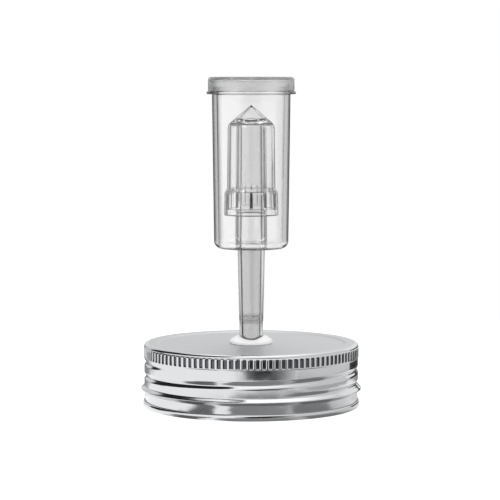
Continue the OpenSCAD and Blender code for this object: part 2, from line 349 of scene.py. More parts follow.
class Shaping:
    """A Geometry Nodes modifier that shapes a turned mesh, and what is common to its trees."""

    def __init__(self, name: str, inputs: dict[str, float], material: bpy.types.Material) -> None:
        """Start a tree with named number inputs.

        Args:
            name: Name of the tree.
            inputs: Names and values of its number inputs.
            material: The material that the tree sets at its end.
        """
        self.tree = bpy.data.node_groups.new(name, "GeometryNodeTree")
        self.values = inputs
        self.material = material
        sockets = self.tree.interface
        sockets.new_socket(name="Geometry", in_out="INPUT", socket_type="NodeSocketGeometry")
        for key in inputs:
            sockets.new_socket(name=key, in_out="INPUT", socket_type="NodeSocketFloat")
        sockets.new_socket(name="Geometry", in_out="OUTPUT", socket_type="NodeSocketGeometry")
        self.start = add(self.tree, "NodeGroupInput")
        self.sums = Sums(self.tree)
        self.shape = self.start.outputs["Geometry"]
        self.place = add(self.tree, "GeometryNodeInputPosition").outputs[0]
        self.x, self.y, self.z = add(self.tree, "ShaderNodeSeparateXYZ", {0: self.place}).outputs
        around = self.sums.of("WRAP", self.sums.azimuth(self.x, self.y), FULL_TURN, 0.0)
        self.turn = self.sums.of("DIVIDE", around, FULL_TURN)

    def given(self, name: str) -> bpy.types.NodeSocket:
        """The socket of a named input."""
        return self.start.outputs[name]

    def stored(self, name: str) -> bpy.types.NodeSocket:
        """The socket of a number stored on the vertices."""
        read = add(self.tree, "GeometryNodeInputNamedAttribute", {"Name": name}, data_type="FLOAT")
        return read.outputs["Attribute"]

    def push_in(self, depth: bpy.types.NodeSocket) -> None:
        """Move every vertex towards the axis.

        Args:
            depth: Socket of how far, in metres.
        """
        flat = add(self.tree, "ShaderNodeCombineXYZ", {0: self.x, 1: self.y, 2: 0.0}).outputs[0]
        unit = add(self.tree, "ShaderNodeVectorMath", {0: flat}, operation="NORMALIZE").outputs[0]
        inwards = self.sums.of("MULTIPLY", depth, -1.0)
        way = add(self.tree, "ShaderNodeVectorMath", {0: unit, "Scale": inwards}, operation="SCALE").outputs[0]
        moved = add(self.tree, "GeometryNodeSetPosition", {"Geometry": self.shape, "Offset": way})
        self.shape = moved.outputs[0]

    def apply(self, piece: bpy.types.Object) -> None:
        """Close the tree, run it on the piece and keep the plain mesh that it gives.

        Args:
            piece: The piece to shape.
        """
        real = add(self.tree, "GeometryNodeRealizeInstances", {0: self.shape}).outputs[0]
        keys = {"Geometry": real, "Material": self.material}
        dressed = add(self.tree, "GeometryNodeSetMaterial", keys).outputs[0]
        add(self.tree, "NodeGroupOutput", {0: dressed})
        modifier = piece.modifiers.new(self.tree.name, "NODES")
        modifier.node_group = self.tree
        sockets = {s.name: s.identifier for s in self.tree.interface.items_tree if s.in_out == "INPUT"}
        for name, value in self.values.items():
            modifier[sockets[name]] = value
        plain = bpy.data.meshes.new_from_object(piece.evaluated_get(bpy.context.evaluated_depsgraph_get()))
        piece.modifiers.clear()
        piece.data = plain
        plain.name = piece.name


class RolledThread(Shaping):
    """Presses one helical bead into the wall of a rolled lid."""

    # The helix may pass over the same place this many times.
    laps = 3

    def __init__(self, inputs: dict[str, float], material: bpy.types.Material) -> None:
        """Build the tree: the bead's depth is a cosine bump around the helix, faded at both ends.

        Args:
            inputs: Names and values of the tree's number inputs.
            material: The material that the tree sets.
        """
        super().__init__("rolled_thread", inputs, material)
        s = self.sums
        depth: object = 0.0
        for lap in range(self.laps):
            turned = s.of("ADD", self.turn, float(lap))
            helix = s.of("MULTIPLY_ADD", turned, self.given("Pitch"), self.given("Start height"))
            away = s.of("ABSOLUTE", s.of("SUBTRACT", self.z, helix))
            share = s.of("MINIMUM", s.of("DIVIDE", away, self.given("Half width")), 1.0)
            bump = s.of("MULTIPLY_ADD", s.of("COSINE", s.of("MULTIPLY", share, math.pi)), 0.5, 0.5)
            last_full = s.of("SUBTRACT", self.given("Last turn"), self.given("Fade"))
            first_full = s.of("ADD", self.given("First turn"), self.given("Fade"))
            rise = s.ease(turned, self.given("First turn"), first_full)
            fall = s.of("SUBTRACT", 1.0, s.ease(turned, last_full, self.given("Last turn")))
            depth = s.of("ADD", depth, s.of("MULTIPLY", bump, s.of("MULTIPLY", rise, fall)))
        whole = s.of("MULTIPLY", depth, self.given("Depth"))
        self.push_in(s.of("MULTIPLY", whole, self.stored("roll_share")))


class RadialPulses(Shaping):
    """Moves stored parts of a turned mesh towards the axis, in equal copies around it."""

    def __init__(self, name: str, inputs: dict[str, float], material: bpy.types.Material) -> None:
        """Build the tree: full depth within the half width of each copy, none past its flank.

        Args:
            name: Name of the tree.
            inputs: Names and values of the tree's number inputs.
            material: The material that the tree sets.
        """
        super().__init__(name, inputs, material)
        s = self.sums
        copies = s.of("MULTIPLY", self.turn, self.given("Count"))
        near = s.of("PINGPONG", copies, 0.5)
        edge = s.of("ADD", self.given("Half width"), self.given("Flank"))
        pulse = s.of("SUBTRACT", 1.0, s.ease(near, self.given("Half width"), edge))
        self.push_in(s.of("MULTIPLY", pulse, self.stored("pulse_depth")))


class VentHoles(Shaping):
    """Cuts a ring of round holes down through a mesh."""

    # Sides of the cylinder that stands for a round hole.
    sides = 24

    def __init__(self, inputs: dict[str, float], material: bpy.types.Material) -> None:
        """Build the tree: cylinders on a circle, cut from the shape by an exact boolean.

        Args:
            inputs: Names and values of the tree's number inputs.
            material: The material that the tree sets.
        """
        super().__init__("vent_holes", inputs, material)
        tree = self.tree
        keys = {"Vertices": self.given("Count"), "Radius": self.given("Circle radius")}
        ring = add(tree, "GeometryNodeMeshCircle", keys)
        punch = add(tree, "GeometryNodeMeshCylinder", {
            "Vertices": self.sides, "Radius": self.given("Hole radius"), "Depth": self.given("Punch length")})
        keys = {"Points": ring.outputs[0], "Instance": punch.outputs[0]}
        punches = add(tree, "GeometryNodeInstanceOnPoints", keys).outputs[0]
        lift = add(tree, "ShaderNodeCombineXYZ", {2: self.given("Height")}).outputs[0]
        keys = {"Geometry": add(tree, "GeometryNodeRealizeInstances", {0: punches}).outputs[0], "Offset": lift}
        placed = add(tree, "GeometryNodeSetPosition", keys).outputs[0]
        cut = add(tree, "GeometryNodeMeshBoolean", {"Mesh 1": self.shape, "Mesh 2": placed}, operation="DIFFERENCE")
        self.shape = cut.outputs[0]


class SoftSag(Shaping):
    """Lets the dome of a soft ring ride up on both sides of what it holds, and sag in front and behind."""

    def __init__(self, inputs: dict[str, float], material: bpy.types.Material) -> None:
        """Build the tree: a squared cosine around the ring, and a little unevenness.

        Args:
            inputs: Names and values of the tree's number inputs.
            material: The material that the tree sets.
        """
        super().__init__("soft_sag", inputs, material)
        s = self.sums
        cosine = s.of("COSINE", s.of("MULTIPLY", self.turn, FULL_TURN))
        keys = {"Vector": self.place, "Scale": self.given("Lumps per metre"), "Detail": 1.0}
        lumps = add(self.tree, "ShaderNodeTexNoise", keys).outputs[0]
        sag = s.of("MULTIPLY", s.of("MULTIPLY", cosine, cosine), self.given("Sag"))
        uneven = s.of("MULTIPLY", lumps, self.given("Unevenness"))
        drop = s.of("MULTIPLY", s.of("ADD", sag, uneven), s.of("MULTIPLY", self.stored("sag_share"), -1.0))
        way = add(self.tree, "ShaderNodeCombineXYZ", {2: drop}).outputs[0]
        self.shape = add(self.tree, "GeometryNodeSetPosition", {"Geometry": self.shape, "Offset": way}).outputs[0]


def set_stops(ramp: bpy.types.ColorRamp, stops: Sequence[tuple[float, Colour]]) -> None:
    """Give a ramp its stops.

    Args:
        ramp: The ramp, as new, with two stops.
        stops: Place from 0 to 1 and linear colour of each stop.
    """
    for index, (place, colour) in enumerate(stops):
        stop = ramp.elements[index] if index < 2 else ramp.elements.new(place)
        stop.position = place
        stop.color = colour


def painted_edge_shade(tree: bpy.types.NodeTree, stops: Sequence[tuple[float, str]]) -> bpy.types.NodeSocket:
    """Painted shade that changes with the angle at which a surface is seen.

    Args:
        tree: The material's tree.
        stops: Painted shades from where the surface faces the eye, at 0, to where it is seen edge-on, at 1.

    Returns:
        The socket of the tint.
    """
    facing = add(tree, "ShaderNodeLayerWeight", {"Blend": 0.5}).outputs["Facing"]
    ramp = add(tree, "ShaderNodeValToRGB", {0: facing})
    set_stops(ramp.color_ramp, [(place, linear(shade)) for place, shade in stops])
    return ramp.outputs[0]


def bare_material(name: str) -> tuple[bpy.types.Material, bpy.types.NodeTree]:
    """Make a material with no nodes.

    Args:
        name: Name of the material.

    Returns:
        The material and its tree.
    """
    material = bpy.data.materials.new(name)
    material.use_nodes = True
    material.node_tree.nodes.clear()
    return material, material.node_tree


@dataclass(frozen=True)
class Finish:
    """What every finish shares: a name and the start of its tree."""

    name: str

    def begin(self) -> tuple[bpy.types.Material, bpy.types.NodeTree, bpy.types.Node]:
        """Make an empty material with a Principled shader.

        Returns:
            The material, its tree and the shader.
        """
        material, tree = bare_material(self.name)
        shader = add(tree, "ShaderNodeBsdfPrincipled")
        add(tree, "ShaderNodeOutputMaterial", {"Surface": shader.outputs[0]})
        return material, tree, shader


@dataclass(frozen=True)
class RolledSteel(Finish):
    """Bright annealed stainless sheet: a grey mirror, satin on the panel, burnished below and dull in the slots, whose
    colour is darkened as painted shade.
    """

    colour: str = "#cdced0"
    slot_painted_shade: str = "#5c5e62"
    wall_roughness: float = 0.11
    panel_roughness: float = 0.44
    slot_roughness: float = 0.22
    panel_height: float = 24.8
    panel_radius: float = 42.1
    panel_edge: float = 0.3
    slot_heights: Point = (20.4, 24.0)
    slot_count: float = 108.0
    slot_half: float = 0.24
    rib_tilt: float = 0.7
    dent_depth: float = 0.08
    dent_mm: float = 7.0
    grain_strength: float = 0.05
    grain_depth: float = 0.02
    grain_mm: float = 0.35
    grain_spread: Point = (-0.04, 0.05)
    stretch: float = 14.0

    def build(self) -> bpy.types.Material:
        """Make the material, with grain along X drawn coarser than real so that it shows.

        Returns:
            The material.
        """
        material, tree, shader = self.begin()
        sums = Sums(tree)
        shader.inputs["Metallic"].default_value = 1.0
        place = add(tree, "ShaderNodeTexCoord").outputs["Object"]
        long = 1 / (self.grain_mm * MM)
        lay = add(tree, "ShaderNodeMapping", {"Vector": place, "Scale": (long / self.stretch, long, long)})
        keys = {"Vector": lay.outputs[0], "Scale": 1.0, "Detail": 3.0}
        grain = add(tree, "ShaderNodeTexNoise", keys).outputs[0]
        x, y, height = add(tree, "ShaderNodeSeparateXYZ", {0: place}).outputs
        inside = sums.ease(sums.radius(x, y), self.panel_radius * MM, (self.panel_radius - self.panel_edge) * MM)
        satin = sums.of("MULTIPLY", inside, sums.of("GREATER_THAN", height, self.panel_height * MM))
        turn = sums.of("DIVIDE", sums.azimuth(x, y), FULL_TURN)
        near = sums.of("PINGPONG", sums.of("MULTIPLY", turn, self.slot_count), 0.5)
        banded = sums.inside(height, *self.slot_heights)
        slot = sums.of("MULTIPLY", sums.of("LESS_THAN", near, self.slot_half), banded)
        # The slots' darker base colour is painted shade in the recesses.
        keys = {0: slot, 6: linear(self.colour), 7: linear(self.slot_painted_shade)}
        tree.links.new(add(tree, "ShaderNodeMix", keys, data_type="RGBA").outputs[2], shader.inputs["Base Color"])
        tree.links.new(self.rough(sums, satin, slot, grain), shader.inputs["Roughness"])
        bowed = self.bowed(sums, x, y, sums.of("SUBTRACT", banded, slot))
        dented = self.dented(tree, place, sums.of("SUBTRACT", 1.0, satin), bowed)
        keys = {"Height": grain, "Strength": self.grain_strength, "Distance": self.grain_depth * MM, "Normal": dented}
        tree.links.new(add(tree, "ShaderNodeBump", keys).outputs[0], shader.inputs["Normal"])
        return material

    def rough(self, sums: Sums, satin: bpy.types.NodeSocket, slot: bpy.types.NodeSocket,
              grain: bpy.types.NodeSocket) -> bpy.types.NodeSocket:
        """Roughness of wall, panel and slots.

        Args:
            sums: What writes the material's sums.
            satin: Socket that is 1 on the panel.
            slot: Socket that is 1 in the slots.
            grain: Socket of the grain, which makes the roughness uneven.

        Returns:
            The socket of the roughness.
        """
        least, most = self.grain_spread
        spread = add(sums.tree, "ShaderNodeMapRange", {"Value": grain, "To Min": least, "To Max": most})
        rough = sums.of("MULTIPLY_ADD", satin, self.panel_roughness - self.wall_roughness, self.wall_roughness)
        rough = sums.of("MULTIPLY_ADD", slot, self.slot_roughness - self.wall_roughness, rough)
        return sums.of("ADD", rough, spread.outputs[0])

    def bowed(self, sums: Sums, x: bpy.types.NodeSocket, y: bpy.types.NodeSocket,
              ribs: bpy.types.NodeSocket) -> bpy.types.NodeSocket:
        """Normal that bows over each rib between the slots: ribs are round, and mirror a wide part of the room.

        Args:
            sums: What writes the material's sums.
            x: Socket of the place across.
            y: Socket of the place from front to back.
            ribs: Socket that is 1 on the ribs.

        Returns:
            The socket of the normal.
        """
        tree, radius = sums.tree, sums.radius(x, y)
        turn = sums.of("DIVIDE", sums.azimuth(x, y), FULL_TURN)
        off = sums.of("SUBTRACT", sums.of("FRACT", sums.of("MULTIPLY", turn, self.slot_count)), 0.5)
        tilt = sums.of("MULTIPLY", off, self.rib_tilt / (0.5 - self.slot_half))
        tilt = sums.of("MULTIPLY", tilt, ribs)
        keys = {0: sums.of("DIVIDE", sums.of("MULTIPLY", y, -1.0), radius), 1: sums.of("DIVIDE", x, radius)}
        way = add(tree, "ShaderNodeCombineXYZ", keys).outputs[0]
        lean = add(tree, "ShaderNodeVectorMath", {0: way, "Scale": tilt}, operation="SCALE").outputs[0]
        keys = {0: lean, 1: add(tree, "ShaderNodeNewGeometry").outputs["Normal"]}
        bowed = add(tree, "ShaderNodeVectorMath", keys, operation="ADD").outputs[0]
        return add(tree, "ShaderNodeVectorMath", {0: bowed}, operation="NORMALIZE").outputs[0]

    def dented(self, tree: bpy.types.NodeTree, place: bpy.types.NodeSocket, strength: bpy.types.NodeSocket,
               normal: bpy.types.NodeSocket) -> bpy.types.NodeSocket:
        """Normal with the faint dents that rolling leaves, which bend what the wall mirrors into streaks.

        Args:
            tree: The material's tree.
            place: Socket of the place on the lid.
            strength: Socket of how strong the dents are.
            normal: Socket of the normal without them.

        Returns:
            The socket of the normal.
        """
        dents = add(tree, "ShaderNodeTexNoise", {"Vector": place, "Scale": 1 / (self.dent_mm * MM), "Detail": 1.0})
        keys = {"Height": dents.outputs[0], "Strength": strength, "Distance": self.dent_depth * MM, "Normal": normal}
        return add(tree, "ShaderNodeBump", keys).outputs[0]


@dataclass(frozen=True)
class Silicone(Finish):
    """Moulded silicone rubber: soft white, slightly see-through at thin edges, with a satin skin."""

    colour: str = "#f4f4f2"
    roughness: float = 0.42
    ior: float = 1.41
    soft_share: float = 0.25
    soft_mm: float = 2.0
    mottle_mm: float = 1.2
    mottle_strength: float = 0.05
    mottle_depth: float = 0.05

    def build(self) -> bpy.types.Material:
        """Make the material, with a faint moulded mottle.

        Returns:
            The material.
        """
        material, tree, shader = self.begin()
        shader.inputs["Roughness"].default_value = self.roughness
        shader.inputs["IOR"].default_value = self.ior
        shader.inputs["Subsurface Weight"].default_value = self.soft_share
        shader.inputs["Subsurface Radius"].default_value = (self.soft_mm * MM,) * 3
        shader.inputs["Subsurface Scale"].default_value = 1.0
        place = add(tree, "ShaderNodeTexCoord").outputs["Object"]
        keys = {"Vector": place, "Scale": 1 / (self.mottle_mm * MM), "Detail": 2.0}
        mottle = add(tree, "ShaderNodeTexNoise", keys)
        tint = add(tree, "ShaderNodeMix", {0: mottle.outputs[0], 6: linear(self.colour), 7: linear("#ffffff")},
                   data_type="RGBA")
        tree.links.new(tint.outputs[2], shader.inputs["Base Color"])
        keys = {"Height": mottle.outputs[0], "Strength": self.mottle_strength, "Distance": self.mottle_depth * MM}
        tree.links.new(add(tree, "ShaderNodeBump", keys).outputs[0], shader.inputs["Normal"])
        return material


class Blend(Enum):
    """How a zone's shade meets the tint under it."""

    OVER = "MIX"
    DEEPEN = "MULTIPLY"


@dataclass(frozen=True)
class Zone:
    """A ring-shaped part of a clear piece whose colour is painted clearer or darker than the rest: painted light where
    it is clearer, painted shade for dark lines and bands.
    """

    low: float
    high: float
    inner: float
    outer: float
    shade: str
    blend: Blend = Blend.DEEPEN


@dataclass(frozen=True)
class ClearPlastic(Finish):
    """Crystal polystyrene, injection moulded: clear and glossy, with the dark edges of a strong lens painted into its
    colour as shade, by angle, by zone and on the ribs.
    """

    painted_edge_shades: tuple[tuple[float, str], ...] = (
        (0.0, "#eeeeee"), (0.5, "#f0f0f0"), (0.68, "#d3d3d3"), (0.84, "#898989"), (0.96, "#434343"))
    zones: tuple[Zone, ...] = ()
    rib_count: float = 0.0
    rib_half: float = 0.0
    rib_heights: Point = (0.0, 0.0)
    rib_from: float = 0.0
    rib_shade: str = "#0e0e0e"
    ior: float = 1.59
    roughness: float = 0.0
    flow: float = 0.004
    flow_mm: float = 1.6
    flow_stretch: float = 20.0
    flow_depth: float = 0.2

    def build(self) -> bpy.types.Material:
        """Make the material, with the faint upright waviness that the mould's flow leaves.

        Returns:
            The material.
        """
        material, tree, shader = self.begin()
        sums = Sums(tree)
        shader.inputs["IOR"].default_value = self.ior
        shader.inputs["Transmission Weight"].default_value = 1.0
        shader.inputs["Roughness"].default_value = self.roughness
        place = add(tree, "ShaderNodeTexCoord").outputs["Object"]
        x, y, z = add(tree, "ShaderNodeSeparateXYZ", {0: place}).outputs
        radius = sums.radius(x, y)
        tint = painted_edge_shade(tree, self.painted_edge_shades)
        # Each zone paints clearness or shade into the colour.
        for zone in self.zones:
            banded = sums.inside(z, zone.low, zone.high)
            where = sums.of("MULTIPLY", banded, sums.inside(radius, zone.inner, zone.outer))
            keys = {0: where, 6: tint, 7: linear(zone.shade)}
            tint = add(tree, "ShaderNodeMix", keys, data_type="RGBA", blend_type=zone.blend.value).outputs[2]
        if self.rib_count:
            # Ribs seen edge-on bend light away, and read as one dark line each; that line is painted shade in the
            # colour.
            turn = sums.of("DIVIDE", sums.azimuth(x, y), FULL_TURN)
            near = sums.of("PINGPONG", sums.of("MULTIPLY", turn, self.rib_count), 0.5)
            rib = sums.of("MULTIPLY", sums.of("LESS_THAN", near, self.rib_half),
                          sums.of("GREATER_THAN", radius, self.rib_from * MM))
            rib = sums.of("MULTIPLY", rib, sums.inside(z, *self.rib_heights))
            keys = {0: rib, 6: tint, 7: linear(self.rib_shade)}
            tint = add(tree, "ShaderNodeMix", keys, data_type="RGBA").outputs[2]
        tree.links.new(tint, shader.inputs["Base Color"])
        wide = 1 / (self.flow_mm * MM)
        lay = add(tree, "ShaderNodeMapping", {"Vector": place, "Scale": (wide, wide, wide / self.flow_stretch)})
        flow = add(tree, "ShaderNodeTexNoise", {"Vector": lay.outputs[0], "Scale": 1.0, "Detail": 1.0})
        keys = {"Height": flow.outputs[0], "Strength": self.flow, "Distance": self.flow_depth * MM}
        tree.links.new(add(tree, "ShaderNodeBump", keys).outputs[0], shader.inputs["Normal"])
        return material


@dataclass(frozen=True)
class MilkyPlastic(Finish):
    """Low-density polyethylene, injection moulded: waxy, greyish and only half see-through."""

    colour: str = "#fafbfb"
    painted_edge_shades: tuple[tuple[float, str], ...] = (
        (0.0, "#f4f4f4"), (0.13, "#ffffff"), (0.34, "#f4f4f4"), (0.56, "#cccccc"), (0.9, "#a0a0a0"))
    roughness: float = 0.27
    ior: float = 1.51
    clearness: float = 0.9
    cloud_mm: float = 3.0

    def build(self) -> bpy.types.Material:
        """Make the material, with a soft cloudiness in its body, and painted light and shade by the angle at which it
        is seen, darkest edge-on.

        Returns:
            The material.
        """
        material, tree, shader = self.begin()
        shader.inputs["IOR"].default_value = self.ior
        shader.inputs["Transmission Weight"].default_value = self.clearness
        place = add(tree, "ShaderNodeTexCoord").outputs["Object"]
        cloud = add(tree, "ShaderNodeTexNoise", {"Vector": place, "Scale": 1 / (self.cloud_mm * MM), "Detail": 2.0})
        shader.inputs["Roughness"].default_value = self.roughness
        milk = add(tree, "ShaderNodeMix", {0: cloud.outputs[0], 6: linear(self.colour), 7: linear("#ffffff")},
                   data_type="RGBA").outputs[2]
        keys = {0: 1.0, 6: milk, 7: painted_edge_shade(tree, self.painted_edge_shades)}
        tint = add(tree, "ShaderNodeMix", keys, data_type="RGBA", blend_type="MULTIPLY").outputs[2]
        tree.links.new(tint, shader.inputs["Base Color"])
        return material


def settle(piece: bpy.types.Object, body: Body, node: str) -> bpy.types.Object:
    """Settle what a finished piece stands for.

    Args:
        piece: The piece.
        body: The body that it moves with.
        node: The node that it replaces.

    Returns:
        The same piece.
    """
    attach(piece, body.value)
    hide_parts(node)
    LOG.info("%s: %d faces on %s", piece.name, len(piece.data.polygons), body.value)
    return piece


def dress(piece: bpy.types.Object, material: bpy.types.Material) -> None:
    """Give a piece one material."""
    piece.data.materials.clear()
    piece.data.materials.append(material)


@dataclass
class ScrewLid:
    """The rolled steel lid: one sheet from the grommet's hole to the folded hem."""

    wall: float = 43.4
    top: float = 25.8
    sheet: float = 0.4
    hole: float = 6.4
    shoulder: float = 1.0
    rim_inset: float = 1.1
    rim_width: float = 3.7
    step_width: float = 1.0
    panel_drop: float = 0.5
    band_top: float = 24.3
    band_foot: float = 19.9
    band_proud: float = 0.2
    slot_top: float = 24.1
    slot_foot: float = 20.3
    slot_depth: float = 0.42
    slot_count: int = 108
    slot_half: float = 0.22
    slot_flank: float = 0.06
    ridge: float = 44.72
    ridge_height: float = 7.3
    ridge_upper: float = 1.3
    ridge_lower: float = 1.2
    neck: float = 43.1
    hem_gap: float = 0.4
    hem_height: float = 2.6
    pitch: float = 5.5
    bead_depth: float = 0.8
    bead_half: float = 1.5
    helix_rise: float = 1.2
    turns: Point = (15 / 360, 675 / 360)
    fade: float = 50 / 360
    row: float = 0.42
    top_row: float = 5.0
    step_round: float = 0.6
    shoulder_reach: float = 0.85
    band_slope: float = 0.1
    band_round: float = 0.2
    foot_slope: Point = (0.15, -0.05)
    foot_round: float = 0.15
    bend_round: float = 0.5
    ridge_round: float = 0.16
    roll_margins: Point = (0.1, 0.2)
    roll_lap: float = 0.6
    near_wall: float = 0.6
    slot_end: float = 0.3
    band_reach: float = 1.0
    crease: float = 50.0
    finish: RolledSteel = field(default_factory=lambda: RolledSteel("rolled_steel"))

    def middle_line(self) -> list[Point]:
        """Lay out the sheet, from the hole over the shoulder down to the folded hem.

        Returns:
            The points of its middle line.
        """
        half = self.sheet / 2
        rim_z = self.top - half
        panel_z = rim_z - self.panel_drop
        rim_out = self.wall - self.rim_inset
        rim_in = rim_out - self.rim_width
        bend = (self.hem_gap + self.sheet) / 2
        proud = self.wall + self.band_proud
        upper = rounded([
            (self.hole, panel_z), (rim_in - self.step_width, panel_z, self.step_round),
            (rim_in, rim_z, self.step_round), (self.wall, rim_z, self.shoulder),
            (self.wall, self.band_top + self.band_slope, self.band_round),
            (proud, self.band_top - self.band_slope, self.band_round)],
            closed=False, steps=8, reach=self.shoulder_reach)
        wall_foot = self.ridge_height + self.ridge_upper
        foot_high, foot_low = (self.band_foot + rise for rise in self.foot_slope)
        lower = rounded([
            (proud, self.slot_top + self.band_slope), (proud, self.slot_foot - self.band_slope),
            (proud, foot_high, self.foot_round), (self.wall, foot_low, self.foot_round),
            (self.wall, wall_foot, self.bend_round), (self.ridge, self.ridge_height, self.ridge_round),
            (self.neck, self.ridge_height - self.ridge_lower, self.bend_round),
            (self.neck, bend + half)], closed=False)
        fold = arc((self.neck + bend, bend + half), bend, 180, 360, 10)
        lip = arc((self.neck + bend, self.hem_height - bend - half), bend, 0, 90, 5)
        return dense(upper[:-1], self.top_row) + dense(lower, self.row) + fold[1:] + lip

    def columns(self) -> np.ndarray:
        """Space the columns so that they meet the edges of every grip slot.

        Returns:
            Their angles in radians.
        """
        edge = self.slot_half + self.slot_flank
        shares = np.array([-edge, -self.slot_half, self.slot_half, edge])
        return np.radians(360 / self.slot_count * (np.arange(self.slot_count)[:, None] + shares)).ravel()

    def build(self) -> bpy.types.Object:
        """Turn the sheet, press the thread and the grip slots into it, and dress it.

        Returns:
            The finished piece.
        """
        left, right = sheet_sides(self.middle_line(), self.sheet)
        # Every second point is enough for the unseen side.
        inside = right[::-2]
        if inside[-1] != right[0]:
            inside.append(right[0])
        piece = turned_mesh("screw_lid_sheet", left + inside, self.columns())
        steel = self.finish.build()
        radius, height = cylindrical(piece)
        low = self.ridge_height + self.ridge_upper + self.roll_margins[0]
        share = fade_between(height, low, self.band_foot - self.roll_margins[1], self.roll_lap)
        mark(piece, "roll_share", share * (np.abs(radius - self.wall) < self.near_wall))
        ends = fade_between(height, self.slot_foot, self.slot_top, self.slot_end)
        mark(piece, "pulse_depth", ends * (radius > self.wall - self.band_reach) * self.slot_depth * MM)
        RolledThread({
            "Pitch": self.pitch * MM, "Start height": (self.ridge_height + self.helix_rise) * MM,
            "Half width": self.bead_half * MM, "Depth": self.bead_depth * MM,
            "First turn": self.turns[0], "Last turn": self.turns[1], "Fade": self.fade}, steel).apply(piece)
        RadialPulses("grip_slots", {
            "Count": float(self.slot_count), "Half width": self.slot_half, "Flank": self.slot_flank},
            steel).apply(piece)
        piece.data.set_sharp_from_angle(angle=math.radians(self.crease))
        return settle(piece, Body.LID, "screw_lid")


@dataclass
class SealingRing:
    """The silicone ring in the channel under the lid's raised ring."""

    outer: float = 42.85
    width: float = 4.1
    thickness: float = 2.0
    edge: float = 0.6
    columns: int = 240
    finish: Silicone = field(default_factory=lambda: Silicone("ring_silicone", colour="#e9e9e6", roughness=0.5))

    def build(self) -> bpy.types.Object:
        """Turn the ring where its node lies, and dress it.

        Returns:
            The finished piece.
        """
        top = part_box("sealing_ring")[1].z / MM
        inner, low = self.outer - self.width, top - self.thickness
        corners = [(self.outer, top), (self.outer, low), (inner, low), (inner, top)]
        outline = rounded([(r, z, self.edge) for r, z in corners])
        piece = turned_mesh("sealing_ring_moulding", outline, even_angles(self.columns))
        dress(piece, self.finish.build())
        return settle(piece, Body.LID, "sealing_ring")


@dataclass
class Grommet:
    """The soft grommet in the panel's hole, with its domed upper flange."""

    flange: float = 8.6
    rise: float = 3.8
    edge_height: float = 1.7
    lip: float = 0.7
    waist: float = 6.35
    under: float = 8.2
    under_height: float = 2.0
    sag: float = 1.6
    sag_from: float = 1.0
    uneven: float = 0.5
    lump_mm: float = 3.0
    bore_low: float = 4.71
    bore_high: float = 4.84
    sheet: float = 0.4
    columns: int = 128
    finish: Silicone = field(default_factory=lambda: Silicone("grommet_silicone", colour="#f8f8f7"))

    def build(self) -> bpy.types.Object:
        """Turn the grommet around the stem, and dress it.

        Returns:
            The finished piece.
        """
        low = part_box("grommet")[0].z / MM
        under = low + self.under_height
        panel = under + self.sheet
        high = panel + self.rise
        outline = rounded([
            (self.bore_low, low, 0.15), (self.under, low, 0.5), (self.under, under, 0.4), (self.waist, under, 0.1),
            (self.waist, panel, 0.1), (self.flange, panel, 0.5), (self.flange, panel + self.edge_height, 0.9),
            (self.bore_high + self.lip, high, 0.5), (self.bore_high, high, 0.2)])
        piece = turned_mesh("grommet_moulding", outline, even_angles(self.columns))
        silicone = self.finish.build()
        edge = panel + self.sag_from
        mark(piece, "sag_share", np.clip((cylindrical(piece)[1] - edge) / (high - edge), 0, 1))
        SoftSag({"Sag": self.sag * MM, "Unevenness": self.uneven * MM, "Lumps per metre": 1 / (self.lump_mm * MM)},
                silicone).apply(piece)
        return settle(piece, Body.LID, "grommet")


@dataclass
class AirlockBody:
    """The clear moulding of stem, chamber, inner tube, flange and rim."""

    chamber_top: float = 15.9
    chamber_foot: float = 15.05
    wall: float = 2.1
    floor: float = 1.1
    tube_rise: float = 50.5
    tube_top: float = 6.2
    tube_foot: float = 6.45
    bore_top: float = 3.6
    bore_base: float = 3.95
    bore_tip: float = 3.0
    stem_top: float = 5.5
    stem_tip: float = 4.366
    rim: float = 16.1
    rim_height: float = 1.9
    flange: float = 18.1
    flange_height: float = 1.2
    stem_length: float = 55.3
    mark_heights: tuple[float, ...] = (26.2, 27.4)
    mark_rises: tuple[float, float, float] = (0.12, 0.28, 0.4)
    mark_depth: float = 0.14
    columns: int = 192
    # The zones paint light and shade: clearer over the tube and chamber wall, a darker stem and band, and a dark line
    # at the chamber's base.
    finish: ClearPlastic = field(default_factory=lambda: ClearPlastic(
        "clear_polystyrene", zones=(
            Zone(65.6, 116.0, 0.0, 7.5, "#ffffff", Blend.OVER), Zone(66.0, 127.0, 12.0, 14.2, "#ffffff", Blend.OVER),
            Zone(8.0, 64.3, 0.0, 6.0, "#ececec"), Zone(33.6, 37.6, 0.0, 6.0, "#eaeaea"),
            Zone(64.2, 64.75, 11.0, 16.0, "#6c6c6c"))))

    def build(self) -> bpy.types.Object:
        """Turn the whole moulding, and dress it.

        Returns:
            The finished piece.
        """
        low, high = (corner.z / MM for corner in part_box("airlock_body"))
        base = low + self.stem_length
        floor = base + self.floor
        tube = base + self.tube_rise
        flange = high - self.rim_height
        slope = (self.bore_base - self.bore_tip) / self.stem_length
        bore = [(self.bore_tip, low, 0.3)]
        for up in self.mark_heights:
            # Each mark is a shallow groove around the bore, and reads as a thin line across the stem.
            at = self.bore_tip + slope * up
            start, top, end = (low + up + rise for rise in self.mark_rises)
            bore += [(at, low + up), (at + self.mark_depth, start), (at + self.mark_depth, top), (at, end)]
        inner_foot, inner_top = self.chamber_foot - self.wall, self.chamber_top - self.wall
        outline = rounded(bore + [
            (self.bore_base, base, 6.0), (self.bore_top, tube, 0.3), (self.tube_top, tube, 0.3),
            (self.tube_foot, floor, 1.0), (inner_foot, floor, 1.0), (inner_top, high, 0.3), (self.rim, high, 0.3),
            (self.rim, flange, 0.12), (self.flange, flange, 0.5), (self.flange, flange - self.flange_height, 0.5),
            (self.chamber_top, flange - self.flange_height, 0.3), (self.chamber_foot, base, 3.0),
            (self.stem_top, base, 0.6), (self.stem_tip, low, 0.4)])
        piece = turned_mesh("airlock_body_moulding", outline, even_angles(self.columns))
        dress(piece, self.finish.build())
        return settle(piece, Body.AIRLOCK, "airlock_body")


